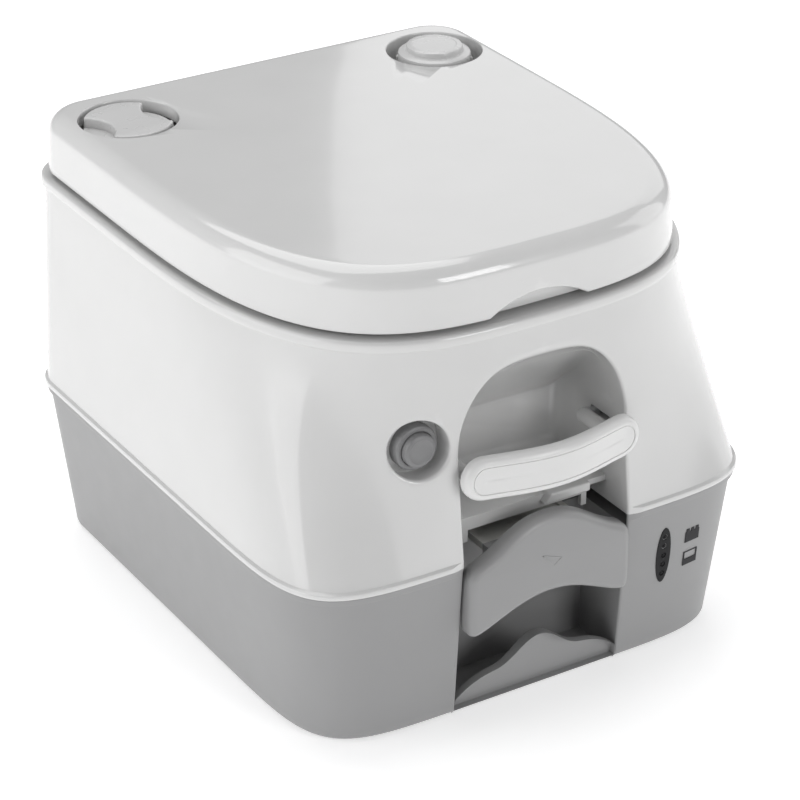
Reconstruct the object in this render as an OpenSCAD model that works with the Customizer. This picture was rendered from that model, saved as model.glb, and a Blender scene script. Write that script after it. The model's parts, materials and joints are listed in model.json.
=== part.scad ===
// Portable flush toilet in two halves: a flushing unit with a fresh-water tank stands on a waste tank.
// Front is -Y, right is +X seen from the front, +Z is up. The origin is the middle of the flat base.
// Millimetres.

/* [Body] */
// Width over the middle flange
body_w = 351.4; // [346:0.2:356]
// Depth over the middle flange
body_d = 386; // [382:1:390]
// Height of the joint between the white upper unit and the grey tank
joint_z = 113.7; // [113.5:0.1:114]
// Height of the upper unit's deck
deck_z = 268; // [267:0.5:269]
// Wall thickness of the moulded shells
wall = 3; // [2.4:0.2:3.4]

/* [Lid and seat] */
// Height of the lid's top
lid_top_z = 311; // [310:0.5:312]
// Height of the lid's lower edge
lid_low_z = 272.7; // [272:0.1:273.4]
// Radius of the rounding round the lid's top
lid_round = 13; // [10:1:15]
// Height of the seat's upper face
seat_top_z = 288; // [285:1:290]
// Half width of the seat opening
seat_open_x = 92; // [86:1:96]
// Half length of the seat opening
seat_open_y = 98; // [90:1:102]

/* [Front recess] */
// Travel of the carrying handle
handle_travel = 14; // [8:1:14]
// Half width of the recess that the handles sit in
recess_x = 61.5; // [60.5:0.5:62.5]
// Height of the centre of the recess's round top
arch_z = 186; // [184:1:188]
// Depth of the recess's back wall from the middle of the body
recess_back = 115; // [113:1:116]

/* [Valve] */
// Radius of the waste opening
outlet_r = 46; // [42:1:47]
// Travel of the valve blade
valve_travel = 105; // [95:1:105]

/* [Flush and filling] */
// Distance of the filling cap and the pump from the middle
cap_x = 119; // [117:1:120]
// Distance of the filling cap and the pump behind the middle
cap_y = 132; // [130:1:134]
// Stroke of the flush pump
pump_stroke = 70; // [50:1:80]
// Radius of the cup that the flush button sits in
button_cup_r = 20.4; // [19.5:0.1:21]

/* [Hidden] */
$fn = 48;

white = "#f1f1ef";
grey = "#9d9d9e";
dark_grey = "#7f7f81";
black = "#2a2b2d";
steel = "#b9bcc0";
rubber = "#3b3b3d";

gap = 0.3;
half_w = body_w / 2;
half_d = body_d / 2;

// An outline is [half width, front, rear, centre of the front curve, rear corner radius, squareness]
base_line = [half_w - 17.7, 14 - half_d, half_d - 11.5, 0, 32, 7.2];
foot_line = [half_w - 14.7, 11 - half_d, half_d - 8.4, 0, 34, 7.2];
tank_line = [half_w - 3.2, 3 - half_d, half_d - 3, 3, 35, 7.2];
rim_line = [half_w - 1.2, 1.2 - half_d, half_d - 1.2, 3, 36, 7.2];
flange_line = [half_w, -half_d, half_d, 3, 36, 7.2];
skirt_line = [half_w - 2, 2 - half_d, half_d - 2, 3, 34, 7.2];
neck_line = [half_w - 9, 13.8 - half_d, half_d - 2, 74.7, 34, 3.3];
deck_line = [half_w - 7, 11.8 - half_d, half_d, 74.7, 35, 3.3];
lid_line = [half_w - 11.3, 16.2 - half_d, half_d - 5, 77.6, 33, 3.32];
seat_line = [half_w - 17, 22 - half_d, 95, 78, 16, 3.32];

FRONT_STEPS = 56;
CORNER_STEPS = 8;
REAR_STEPS = 10;

function mix(a, b, t) = a + (b - a) * t;

// The same outline moved inwards by d
function inset(line, d) = [line[0] - d, line[1] + d, line[2] - d, line[3], max(line[4] - d, 4), line[5]];

function square_radius(a, b, n, angle) =
    pow(pow(abs(cos(angle)) / a, n) + pow(abs(sin(angle)) / b, n), -1 / n);

// Points of a rear corner, side 0 on the right and side 1 on the left
function rear_corner(line, z, side) = let (corner = line[4], x = (1 - 2 * side) * (line[0] - corner))
    [for (i = [0:CORNER_STEPS]) let (angle = 90 * side + 90 * i / CORNER_STEPS)
        [x + corner * cos(angle), line[2] - corner + corner * sin(angle), z]];

// Points of an outline at height z: round the front, then along the rear from right to left
function ring(line, z) = let (front = line[3] - line[1], flat = line[0] - line[4])
    concat(
        [for (i = [0:FRONT_STEPS]) let (angle = 180 + 180 * i / FRONT_STEPS,
            r = square_radius(line[0], front, line[5], angle))
            [r * cos(angle), line[3] + r * sin(angle), z]],
        rear_corner(line, z, 0),
        [for (i = [1:REAR_STEPS - 1]) [flat * (1 - 2 * i / REAR_STEPS), line[2], z]],
        rear_corner(line, z, 1));

// The ring between two others, point by point
function mix_ring(a, b, t) = [for (i = [0:len(a) - 1]) mix(a[i], b[i], t)];

// A ring's points moved radially on to an ellipse [centre y, half width, half length]
function on_ellipse(from, oval, z) = [for (p = from)
    let (x = p.x, y = p.y - oval[0], k = 1 / sqrt(pow(x / oval[1], 2) + pow(y / oval[2], 2)))
    [k * x, oval[0] + k * y, z]];

function side_faces(rings, count, closed) = [for (k = [0:rings - (closed ? 1 : 2)], i = [0:count - 1],
    half = [0, 1])
    let (low = k * count, high = ((k + 1) % rings) * count, next = (i + 1) % count)
    half == 0 ? [low + i, high + i, high + next] : [low + i, high + next, low + next]];

function middle(r) = [for (k = [0:2]) [for (p = r) p[k]] * [for (p = r) 1 / len(r)]];

// A solid through rings, closed by its first and last ring
module loft(rings) {
    count = len(rings[0]);
    top = (len(rings) - 1) * count;
    low_middle = len(rings) * count;
    polyhedron(concat([for (r = rings) each r], [middle(rings[0]), middle(rings[len(rings) - 1])]),
        concat(side_faces(len(rings), count, false),
            [for (i = [0:count - 1]) [i, (i + 1) % count, low_middle]],
            [for (i = [0:count - 1]) [top + (i + 1) % count, top + i, low_middle + 1]]), convexity = 8);
}

// A solid through rings that come round to the first ring again
module loop_loft(rings) {
    polyhedron([for (r = rings) each r], side_faces(len(rings), len(rings[0]), true), convexity = 8);
}

module tube(outer, inner, low, high) {
    translate([0, 0, low])
        difference() {
            cylinder(r = outer, h = high - low);
            translate([0, 0, -1]) cylinder(r = inner, h = high - low + 2);
        }
}

module along_y(x, y, z) {
    translate([x, y, z]) rotate([-90, 0, 0]) children();
}

module along_x(x, y, z) {
    translate([x, y, z]) rotate([0, 90, 0]) children();
}

module both_sides() {
    children();
    mirror([1, 0, 0]) children();
}

// A box from its low corner to its high corner
module block(low, high) {
    translate(low) cube(high - low);
}

// ---- Grey waste tank --------------------------------------------------------

tank_deck_z = 104;
tank_skin = 3.2;
// The tank's walls are ruled between its foot and its top band
foot_z = 5;
wall_top_z = 108;
band_z = 109;
grip_z = 26;
grip_wave = 32;
tank_back = 141;
spout_x = 118;
spout_y = 159;
spout_floor_z = 48;
spout_axis_z = 74;
spout_len = 150;
bay_low = [-112, 135, spout_floor_z];
bay_high = [144, 210, tank_deck_z - tank_skin];
window_x = 94;
window_z = 72;
front_draft = atan((foot_line[1] - tank_line[1]) / (wall_top_z - foot_z));

function up_the_wall(z) = (z - foot_z) / (wall_top_z - foot_z);
function tank_outer(z) = mix_ring(ring(foot_line, z), ring(tank_line, z), up_the_wall(z));
function tank_inner(z) = mix_ring(ring(inset(foot_line, tank_skin), z),
    ring(inset(tank_line, tank_skin), z), up_the_wall(z));

tank_outer_rings = [ring(base_line, 0), ring(inset(foot_line, 1), 1.6), tank_outer(foot_z), tank_outer(40),
    tank_outer(75), tank_outer(wall_top_z)];

module tank_solid() {
    loft(concat(tank_outer_rings, [ring(rim_line, band_z), ring(rim_line, joint_z - 0.2)]));
}

// The wavy lip that the fingers hold, seen from the front
module grip_profile() {
    steps = 24;
    polygon(concat([[recess_x + 1, 0], [-recess_x - 1, 0]],
        [for (i = [0:steps]) let (x = -recess_x - 1 + (2 * recess_x + 2) * i / steps)
            [x, grip_z + 8 + 8 * cos(180 * min(abs(x) / grip_wave, 1)) - 14 * pow(abs(x) / recess_x, 4)]]));
}

module waste_tank() {
    rim_inner = inset(rim_line, tank_skin);
    hole = [-15, outlet_r - 4, outlet_r - 4];
    color(grey)
        difference() {
            union() {
                loft(concat(tank_outer_rings, [
                    ring(rim_line, band_z), ring(rim_line, joint_z - 0.2),
                    ring(rim_inner, joint_z - 0.2), ring(rim_inner, tank_deck_z),
                    on_ellipse(ring(rim_inner, 0), hole, tank_deck_z),
                    on_ellipse(ring(rim_inner, 0), hole, tank_deck_z - tank_skin),
                    tank_inner(tank_deck_z - tank_skin), tank_inner(55), tank_inner(6),
                    ring(inset(base_line, 4), tank_skin)]));
                intersection() {
                    tank_solid();
                    union() {
                        block([-recess_x - 3.7, -210, 0], [recess_x + 3.7, 3 - tank_back, tank_deck_z]);
                        block(bay_low - [3, 3, 3], bay_high + [3, 0, 3]);
                        // stand of the vent
                        translate([vent_x, vent_y, tank_deck_z - 12]) cylinder(r = 12, h = 12);
                    }
                }
            }
            block([-recess_x - 0.5, -210, tank_skin], [recess_x + 0.5, -tank_back, joint_z + 5]);
            block(bay_low, bay_high);
            translate([0, -15, tank_deck_z - tank_skin - 5]) cylinder(r = outlet_r, h = 20);
            translate([spout_x, spout_y, spout_floor_z - 10]) cylinder(r = 18.2, h = 20);
            translate([vent_x, vent_y, tank_deck_z - 9]) cylinder(r = 9, h = 20);
            translate([vent_x, vent_y, tank_deck_z - 30]) cylinder(r = 3.5, h = 40);
            on_tank_face(window_x, window_z) window_shape(0.15, -2.2, 3);
            latch_keeper_slot();
        }
    color(grey)
        intersection() {
            tank_solid();
            translate([0, -176, 0]) rotate([90, 0, 0]) linear_extrude(14) grip_profile();
        }
}

window_half_h = 21;
window_half_w = 5.6;

// How far forward the tank's front face lies at a width and a height
function tank_face_y(x, z) = let (t = up_the_wall(z), w = mix(foot_line[0], tank_line[0], t),
    middle_y = mix(foot_line[3], tank_line[3], t), front_y = mix(foot_line[1], tank_line[1], t))
    middle_y - (middle_y - front_y) * pow(1 - pow(abs(x) / w, base_line[5]), 1 / base_line[5]);

// Puts a flat item on the tank's front face, with its own Z axis pointing out of the face
module on_tank_face(x, z) {
    yaw = atan((tank_face_y(x + 2, z) - tank_face_y(x - 2, z)) / 4);
    translate([x, tank_face_y(x, z), z]) rotate([0, 0, yaw]) rotate([90 + front_draft, 0, 0]) children();
}

module window_shape(extra, low, high) {
    translate([0, 0, low])
        linear_extrude(high - low)
            scale([(window_half_w + extra) / window_half_h, 1]) circle(window_half_h + extra, $fn = 64);
}

// Five prisms behind the lens show the level
module level_window() {
    color(black)
        on_tank_face(window_x, window_z) {
            difference() {
                window_shape(0, -2, 0.5);
                for (i = [-2:2]) translate([0, 7 * i, 0]) cylinder(r = 2, h = 3);
            }
            for (i = [-2:2]) translate([0, 7 * i, -0.2]) cylinder(r1 = 1.9, r2 = 0.4, h = 1.2);
        }
}

// Two pictograms: a full tank and a half-full tank
module level_icons() {
    icon = [12, 10.5, 0.4];
    proud = 0.25;
    color(black) {
        on_tank_face(window_x + 23.5, window_z + 8.5) {
            translate([0, -1.2, proud]) cube([icon.x, icon.y - 2.6, icon.z], center = true);
            for (i = [-1:1]) translate([i * 4, 3.7, proud]) cube([2.6, 2.4, icon.z], center = true);
        }
        on_tank_face(window_x + 23.5, window_z - 9.5)
            difference() {
                translate([0, 0, proud]) cube(icon, center = true);
                translate([0, 2, 0]) cube([icon.x - 1.8, icon.y / 2, 2], center = true);
            }
    }
}

// ---- Pour spout, its cap and the vent ---------------------------------------

spout_r = 18;

module pour_spout() {
    color(grey)
        difference() {
            union() {
                translate([spout_x, spout_y, spout_floor_z - tank_skin - 4])
                    cylinder(r = spout_r, h = spout_axis_z - spout_floor_z + tank_skin + 4);
                translate([spout_x, spout_y, spout_axis_z]) sphere(r = spout_r);
                translate([spout_x, spout_y, spout_floor_z + gap]) cylinder(r = 22, h = 4);
                along_x(spout_x - spout_len, spout_y, spout_axis_z) cylinder(r = spout_r, h = spout_len);
            }
            translate([spout_x, spout_y, spout_floor_z - 20]) cylinder(r = 15, h = 46);
            translate([spout_x, spout_y, spout_axis_z]) sphere(r = 15);
            along_x(spout_x - spout_len - 1, spout_y, spout_axis_z) cylinder(r = 15, h = spout_len + 1);
            translate([spout_x, spout_y, spout_floor_z - tank_skin - 2.5])
                difference() {
                    cylinder(r = 19, h = 1.6);
                    translate([0, 0, -1]) cylinder(r = 16.8, h = 4);
                }
        }
}

// Snap ring that holds the spout under the bay's floor
module spout_ring() {
    color(rubber)
        translate([spout_x, spout_y, spout_floor_z - tank_skin - 2.4])
            tube(20.5, 16.9, 0, 1.4);
}

spout_end_x = spout_x - spout_len;

module spout_cap() {
    color(white)
        difference() {
            along_x(spout_end_x - 5, spout_y, spout_axis_z)
                union() {
                    cylinder(r = 22, h = 22);
                    for (i = [0:11]) rotate([0, 0, 30 * i]) translate([21.6, 0, 0]) cylinder(r = 1.2, h = 20);
                }
            along_x(spout_end_x - 1.8, spout_y, spout_axis_z) cylinder(r = spout_r + gap, h = 30);
        }
}

module spout_gasket() {
    color(rubber) along_x(spout_end_x - 1.7, spout_y, spout_axis_z) tube(17.5, 13, 0, 1.5);
}

vent_x = -110;
vent_y = 100;

module vent_button() {
    color(dark_grey)
        translate([vent_x, vent_y, 0]) {
            translate([0, 0, tank_deck_z - 3]) cylinder(r = 8.6, h = 9);
            translate([0, 0, tank_deck_z - 14]) cylinder(r = 3.3, h = 12);
        }
}

module vent_spring() {
    color(steel) translate([vent_x, vent_y, 0]) tube(6.5, 4.5, tank_deck_z - 9 + 0.1, tank_deck_z - 3.1);
}

// ---- Slide valve ------------------------------------------------------------

blade_z = 109;
blade_t = 3.5;
valve_top_z = 117.5;
body_front = 134;
body_back = 48;
body_half = 61;
blade_half = 50;

module valve_body() {
    color(dark_grey)
        difference() {
            block([-body_half, -body_front, tank_deck_z + 0.1], [body_half, body_back, valve_top_z]);
            block([-blade_half - 0.4, -body_front - 1, blade_z - 0.3],
                [blade_half + 0.4, body_back - 4, blade_z + blade_t + 0.3]);
            translate([0, -15, 0]) cylinder(r = outlet_r, h = 200);
            translate([0, -15, blade_z - 3.3]) tube(outlet_r + 5, outlet_r - 1, 0, 3.2);
            for (p = screw_places) translate([p.x, p.y, tank_deck_z - 1]) cylinder(r = 1.8, h = 30);
            // hollow sides under the cover
            both_sides() block([18, -128, -1], [blade_half - 8, -76, blade_z]);
        }
}

screw_places = [for (x = [-1, 1], y = [-120, 36]) [x * 55.5, y]];

module valve_seal() {
    color(rubber) translate([0, -15, blade_z - 3.2]) tube(outlet_r + 4.9, outlet_r + 0.1, 0, 2.8);
}

module valve_screws() {
    color(steel)
        for (p = screw_places)
            translate([p.x, p.y, 0]) {
                translate([0, 0, tank_deck_z + 0.2]) cylinder(r = 1.7, h = valve_top_z - tank_deck_z);
                translate([0, 0, valve_top_z + 0.05]) cylinder(r = 3.4, h = 2);
            }
}

arm_half = 36;
arm_front = 186;

module valve_blade() {
    color(white)
        union() {
            translate([0, -15, blade_z])
                intersection() {
                    cylinder(r = blade_half + 6, h = blade_t);
                    block([-blade_half, -60, 0], [blade_half, valve_travel - outlet_r - 2, blade_t]);
                }
            block([-blade_half, -72, blade_z], [blade_half, -15, blade_z + blade_t]);
            block([-arm_half, -arm_front, blade_z], [arm_half, -70, blade_z + blade_t]);
            both_sides() block([arm_half - 4, -arm_front + 11, blade_z + blade_t - 0.1],
                [arm_half, -body_front - 4, blade_z + blade_t + 1.2]);
        }
}

handle_front = 197;
handle_depth = 13;

// Grip of the valve, seen from the front: a round hump on top and an arch for the fingers below
module valve_profile() {
    crown = [for (i = [0:20]) let (x = 60 * (1 - i / 10)) [x, 134.5 - 24 * pow(sin(abs(x) / 60 * 90), 2.6)]];
    arch = [for (i = [0:20]) let (x = -60 + 6 * i) [x, 61 + 18.5 * pow(cos(min(abs(x) / 58, 1) * 90), 1.3)]];
    offset(r = 5) offset(delta = -5) polygon(concat(crown, arch));
}

module valve_handle() {
    color(grey)
        difference() {
            union() {
                for (layer = [[0, 0, handle_depth - 4], [2, handle_depth - 4.01, 2.6], [5, handle_depth - 1.42, 1.42]])
                    translate([0, handle_depth - handle_front - layer[1], 0])
                        rotate([90, 0, 0]) linear_extrude(layer[2]) offset(delta = -layer[0]) valve_profile();
                block([-arm_half - 3, -handle_front + 10, blade_z - 4], [arm_half + 3, -176, blade_z + blade_t + 4]);
            }
            block([-arm_half - 0.15, -arm_front - 0.3, blade_z - 0.15],
                [arm_half + 0.15, -170, blade_z + blade_t + 0.15]);
            for (x = [-24, 24]) translate([x, -180, blade_z - 10]) cylinder(r = 1.8, h = 10 + blade_t);
        }
}

module handle_screws() {
    color(steel)
        for (x = [-24, 24])
            translate([x, -180, 0]) {
                translate([0, 0, blade_z - 4.5]) cylinder(r = 1.7, h = 4.2);
                translate([0, 0, blade_z - 6]) cylinder(r = 3.2, h = 1.9);
            }
}

// ---- White upper unit: shell, bowl and outlet -------------------------------

skirt_z = joint_z + 4.8;
flange_z = deck_z - 7;
floor_z = 121.5;
ledge_z = 131;
crease_z = 179;
ceiling_slope = 68 / 72;
bowl_top = [-30, 104, 112];
button_x = -86;
button_z = 196.5;
button_seat_y = -166;
recess_step_y = -145;
guide_x = 53;
guide_z = 170.5;
pin_y = -150;
handle_pin_r = 3;
hinge_y = half_d + 3;
hinge_z = 276;

// Outline of the shell's wall at height z, moved inwards by d
function shell_ring(z, d) = mix_ring(ring(inset(skirt_line, d), z), ring(inset(neck_line, d), z),
    (z - skirt_z) / (flange_z - skirt_z));

wall_heights = [for (i = [0:3]) mix(skirt_z, flange_z, i / 3)];

shell_outer_rings = concat([ring(flange_line, joint_z), ring(flange_line, skirt_z - 0.8)],
    [for (z = wall_heights) shell_ring(z, 0)],
    [ring(deck_line, flange_z + 0.1), ring(deck_line, deck_z - 1), ring(inset(deck_line, 1), deck_z)]);

// Arched opening of the front recess, extruded from front to back
module arch_prism(grow, low, front, back) {
    translate([0, back, 0])
        rotate([90, 0, 0])
            linear_extrude(back - front)
                union() {
                    translate([0, arch_z]) circle(recess_x + grow, $fn = 96);
                    translate([-recess_x - grow, low]) square([2 * (recess_x + grow), arch_z - low]);
                }
}

// Side view of the recess: a back wall and a ceiling that slopes up towards the front
module recess_side(grow, low_front, low_back) {
    back = grow - recess_back;
    translate([-100, 0, 0])
        rotate([90, 0, 90])
            linear_extrude(200)
                polygon([[-210, low_front], [grow - 165, low_front], [grow - 165, low_back],
                    [back, low_back], [back, crease_z + grow / 2],
                    [-210, crease_z + grow / 2 + (210 + back) * ceiling_slope]]);
}

module recess_walls() {
    intersection() {
        loft(shell_outer_rings);
        arch_prism(wall, joint_z, -210, -100);
        recess_side(wall, joint_z, floor_z - 2.5);
    }
}

module recess_space() {
    intersection() {
        union() {
            arch_prism(0, ledge_z, -215, recess_step_y);
            arch_prism(-1.2, ledge_z, recess_step_y - 1, -100);
        }
        recess_side(0, ledge_z, ledge_z);
    }
    block([-recess_x, -215, joint_z - 5], [recess_x, -165, ledge_z + 1]);
    block([-recess_x, -162, joint_z - 5], [recess_x, -recess_back, ledge_z - wall]);
    block([-43, -170, joint_z - 5], [43, -155, 122]);
    block([34, -170, joint_z - 5], [40, -155, 124.5]);
    block([47, -170, joint_z - 5], [recess_x, -155, ledge_z - wall - 1]);
}

// Blind slot in the recess's side that a pin of the carrying handle runs in
module handle_slot() {
    for (y = [pin_y, pin_y - handle_travel])
        along_x(recess_x - 3, y, guide_z) cylinder(r = handle_pin_r + 0.15, h = 10);
    block([recess_x - 3, pin_y - handle_travel, guide_z - handle_pin_r - 0.15],
        [recess_x + 7, pin_y, guide_z + handle_pin_r + 0.15]);
}

module upper_shell() {
    color(white)
        difference() {
            union() {
                loop_loft(concat(shell_outer_rings, [
                    on_ellipse(ring(deck_line, 0), bowl_top, deck_z),
                    on_ellipse(ring(deck_line, 0), bowl_top, deck_z - wall),
                    ring(inset(neck_line, wall), deck_z - wall)],
                    [for (i = [3:-1:0]) shell_ring(wall_heights[i], wall)],
                    [ring(inset(skirt_line, wall), joint_z)]));
                recess_walls();
                button_cup();
                // pads that hold the blind slots of the carrying handle
                both_sides() block([recess_x + 1, -172, guide_z - 8], [recess_x + 10, -142, guide_z + 8]);
                // pads that the hinge brackets are screwed to
                both_sides() block([ear_x[0] - 2, half_d - 4, 236], [ear_x[1] + 8, half_d, flange_z + 1]);
                latch_bay_walls();
            }
            recess_space();
            both_sides() handle_slot();
            along_y(button_x, -215, button_z) cylinder(r = button_cup_r, h = 215 + button_seat_y);
            along_y(button_x, -215, button_z) cylinder(r = 12.2, h = 100);
            for (x = [-cap_x, cap_x]) translate([x, cap_y, 200]) cylinder(r = neck_r + 0.1, h = 100);
            latch_bay();
            latch_pin_holes();
            both_sides() hinge_screw_holes();
        }
}

// Cup that the flush button sits in, cut flush with the shell
module button_cup() {
    intersection() {
        loft(shell_outer_rings);
        along_y(button_x, -215, button_z) cylinder(r = button_cup_r + 2.6, h = 215 + button_seat_y + 3);
    }
}

bowl_ovals = [[-30, 104, 112, deck_z - wall - 0.2], [-29, 100, 106, 250], [-24, 84, 84, 190],
    [-17, 60, 62, 140], [-15, outlet_r, outlet_r, floor_z]];

function oval_ring(oval, grow) = [for (i = [0:71])
    [(oval[1] + grow) * cos(5 * i), oval[0] + (oval[2] + grow) * sin(5 * i), oval[3]]];

module bowl() {
    flange = [-30, 112, 120, deck_z - wall - 0.2];
    color(white)
        difference() {
            union() {
                loop_loft(concat(
                    [for (i = [4:-1:1]) oval_ring(bowl_ovals[i], wall)],
                    [oval_ring([-30, 104, 112, deck_z - wall - 4], wall), oval_ring(flange - [0, 0, 0, 3], 0),
                     oval_ring(flange, 0)],
                    [for (i = [0:4]) oval_ring(bowl_ovals[i], 0)]));
                difference() {
                    loft([for (z = [floor_z, floor_z + wall]) shell_ring(z, wall + gap)]);
                    block([-recess_x - wall - gap, -220, 0], [recess_x + wall + gap, wall + gap - recess_back, 300]);
                    block([-25, half_d - 19, 0], [25, half_d, 300]);
                    translate([0, -15, 0]) cylinder(r = outlet_r + 1, h = 300);
                }
            }
            along_x(-130, -22, 246) cylinder(r = 5.1, h = 60);
        }
}

module outlet_seal() {
    color(rubber) translate([0, -15, 0]) tube(outlet_r + 9, outlet_r + 1, valve_top_z + 0.1, floor_z - 0.1);
}

// ---- Filling neck and cap ---------------------------------------------------

neck_r = 27;
neck_top = 299;

module fill_neck() {
    color(white)
        translate([-cap_x, cap_y, 0]) {
            tube(neck_r, 23, deck_z - 12, neck_top);
            tube(neck_r + 3, 23, deck_z + 0.1, deck_z + 3);
        }
}

module fill_gasket() {
    color(rubber) translate([-cap_x, cap_y, 0]) tube(26.5, 22.9, neck_top + 0.1, neck_top + 1.4);
}

module fill_cap() {
    low = neck_top + 1.5;
    color(white)
        translate([-cap_x, cap_y, 0])
            difference() {
                union() {
                    translate([0, 0, low]) cylinder(r = 30, h = lid_top_z - 0.8 - low);
                    translate([0, 0, low - 10]) cylinder(r = 22.5, h = 11);
                }
                rotate([0, 0, -55])
                    for (side = [-1, 1])
                        translate([0, side * 36, low + 3]) cylinder(r = 25, h = 20);
                translate([0, 0, low - 11]) cylinder(r = 19.5, h = 14);
            }
}

// ---- Flush pump -------------------------------------------------------------

barrel_r = 18;
barrel_low = neck_top - pump_stroke - 79;
rod_r = 5;

module pump_cylinder() {
    color(white)
        translate([cap_x, cap_y, 0])
            difference() {
                union() {
                    translate([0, 0, barrel_low]) cylinder(r = barrel_r + 2, h = neck_top - barrel_low);
                    translate([0, 0, deck_z - 12]) cylinder(r = neck_r, h = neck_top - deck_z + 12);
                    translate([0, 0, deck_z + 0.1]) cylinder(r = neck_r + 3, h = 3);
                }
                translate([0, 0, barrel_low + 4]) cylinder(r = barrel_r, h = 200);
                translate([0, 0, barrel_low - 1]) cylinder(r = 6, h = 10);
            }
}

module pump_guide() {
    color(grey) translate([cap_x, cap_y, 0]) tube(barrel_r - 0.05, rod_r + 0.06, neck_top - 14, neck_top);
}

// Umbrella valve in the floor of the pump
module foot_valve() {
    color(rubber)
        translate([cap_x, cap_y, 0]) {
            translate([0, 0, barrel_low - 3.1]) cylinder(r = 9, h = 3);
            translate([0, 0, barrel_low - 3]) cylinder(r = 2.4, h = 8);
        }
}

module pump_rod() {
    color(steel) translate([cap_x, cap_y, barrel_low + 8]) cylinder(r = rod_r, h = neck_top + 8 - barrel_low - 8);
}

module pump_piston() {
    low = barrel_low + 8;
    color(grey)
        translate([cap_x, cap_y, 0])
            difference() {
                tube(barrel_r - 0.4, rod_r + 0.02, low, low + 11);
                tube(barrel_r + 1, barrel_r - 3, low + 4, low + 7);
            }
}

module piston_seal() {
    low = barrel_low + 12;
    color(rubber) translate([cap_x, cap_y, 0]) tube(barrel_r - 0.1, barrel_r - 2.95, low + 0.1, low + 2.9);
}

module pump_knob() {
    low = neck_top + 1.5;
    rim = lid_top_z - 0.5 - low;
    color(white)
        translate([cap_x, cap_y, 0])
            difference() {
                union() {
                    translate([0, 0, low]) cylinder(r = 25.5, h = rim - 1.5);
                    translate([0, 0, low + rim - 1.51]) cylinder(r1 = 25.5, r2 = 23, h = 2);
                    translate([0, 0, low + rim]) cylinder(r = 19.7, h = 3.2);
                    translate([0, 0, low + rim + 3.19]) cylinder(r1 = 19.7, r2 = 18.2, h = 1.2);
                    for (i = [0:7])
                        rotate([0, 0, 45 * i + 10]) translate([25.2, 0, low]) cylinder(r = 1.6, h = 5);
                }
                translate([0, 0, low - 1]) cylinder(r = rod_r + 0.05, h = 7.6);
            }
}

// ---- Flush valve, button and tubes ------------------------------------------

module button_collar() {
    color(dark_grey)
        along_y(button_x, button_seat_y - 8, button_z)
            difference() {
                union() {
                    cylinder(r = 15, h = 7.9);
                    cylinder(r = 12, h = 15.5);
                }
                translate([0, 0, -1]) cylinder(r = 11.15, h = 30);
            }
}

module flush_button() {
    color(dark_grey)
        along_y(button_x, button_seat_y - 13, button_z)
            difference() {
                union() {
                    cylinder(r1 = 10, r2 = 11, h = 1.2);
                    translate([0, 0, 1.2]) cylinder(r = 11, h = 11.8);
                    translate([0, 0, 12]) cylinder(r = 3, h = 20);
                }
                translate([0, 0, 9.5])
                    difference() {
                        cylinder(r = 9, h = 6);
                        translate([0, 0, -1]) cylinder(r = 3, h = 8);
                    }
            }
}

module flush_spring() {
    color(steel) along_y(button_x, button_seat_y - 3.3, button_z) tube(7, 5, 0, 10.8);
}

module flush_valve() {
    color(grey)
        along_y(button_x, button_seat_y + 7.6, button_z)
            difference() {
                union() {
                    cylinder(r = 16, h = 4);
                    translate([0, 0, 4]) cylinder(r = 12, h = 14);
                    translate([0, 0, 18]) cylinder(r = 4.5, h = 8);
                    translate([0, 10, 12]) rotate([-90, 0, 0]) cylinder(r = 4.5, h = 14);
                }
                translate([0, 0, -1]) cylinder(r = 3.1, h = 20);
            }
}

// Round tube swept along points
module hose(path, r) {
    sides = 10;
    last = len(path) - 1;
    function heading(i) = let (d = path[min(i + 1, last)] - path[max(i - 1, 0)]) d / norm(d);
    function across(i) = let (c = cross(heading(i), [0.3, 0.9, 0.2])) c / norm(c);
    loft([for (i = [0:last]) let (u = across(i), v = cross(heading(i), u))
        [for (s = [0:sides - 1]) path[i] + r * (cos(360 * s / sides) * u + sin(360 * s / sides) * v)]]);
}

// Smooth curve through hand-placed points
function spline_point(a, b, c, d, t) =
    0.5 * (2 * b + (c - a) * t + (2 * a - 5 * b + 4 * c - d) * t * t + (3 * b - a - 3 * c + d) * t * t * t);
function smooth(points, steps) = let (last = len(points) - 1) concat(
    [for (i = [0:last - 1], s = [0:steps - 1])
        spline_point(points[max(i - 1, 0)], points[i], points[i + 1], points[min(i + 2, last)], s / steps)],
    [points[last]]);

flush_route = [[button_x, -132, button_z], [button_x, -124, button_z + 1], [button_x - 8, -108, button_z + 9],
    [-116, -80, 230],
    [-126, -50, 240], [-134, -32, 245], [-131, -22, 246], [-121, -22, 246]];
dip_route = [[button_x, -146.5, button_z - 25], [button_x, -146.5, button_z - 33], [button_x - 4, -144, 150],
    [button_x - 6, -142, 132]];

module flush_tube() {
    color(grey) hose(smooth(flush_route, 3), 4);
}

module dip_tube() {
    color(grey) hose(smooth(dip_route, 2), 4);
}

module rim_nozzle() {
    color(grey)
        along_x(-120.5, -22, 246)
            difference() {
                union() {
                    cylinder(r = 5, h = 28);
                    translate([0, 0, 24.5]) cylinder(r1 = 7, r2 = 5.5, h = 5);
                }
                translate([0, 0, 12]) cylinder(r = 3, h = 30);
            }
}

// ---- Carrying handle --------------------------------------------------------

grip_len = 65;
grip_mid_z = 174.5;
grip_half_h = 14.5;
grip_bulge = 10;
grip_y = -197;
grip_t = 9.5;

// Plan view of the bar: straight ends and a middle that bows forwards
function bow(x) = grip_y - grip_bulge * pow(cos(min(abs(x) / 55, 1) * 90), 1.3);

module bar_plan(front_trim, back_trim, reach) {
    steps = 32;
    polygon(concat(
        [for (i = [0:steps]) let (x = -reach + 2 * reach * i / steps) [x, bow(x) + front_trim]],
        [for (i = [steps:-1:0]) let (x = -reach + 2 * reach * i / steps) [x, bow(x) + grip_t - back_trim]]));
}

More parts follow.
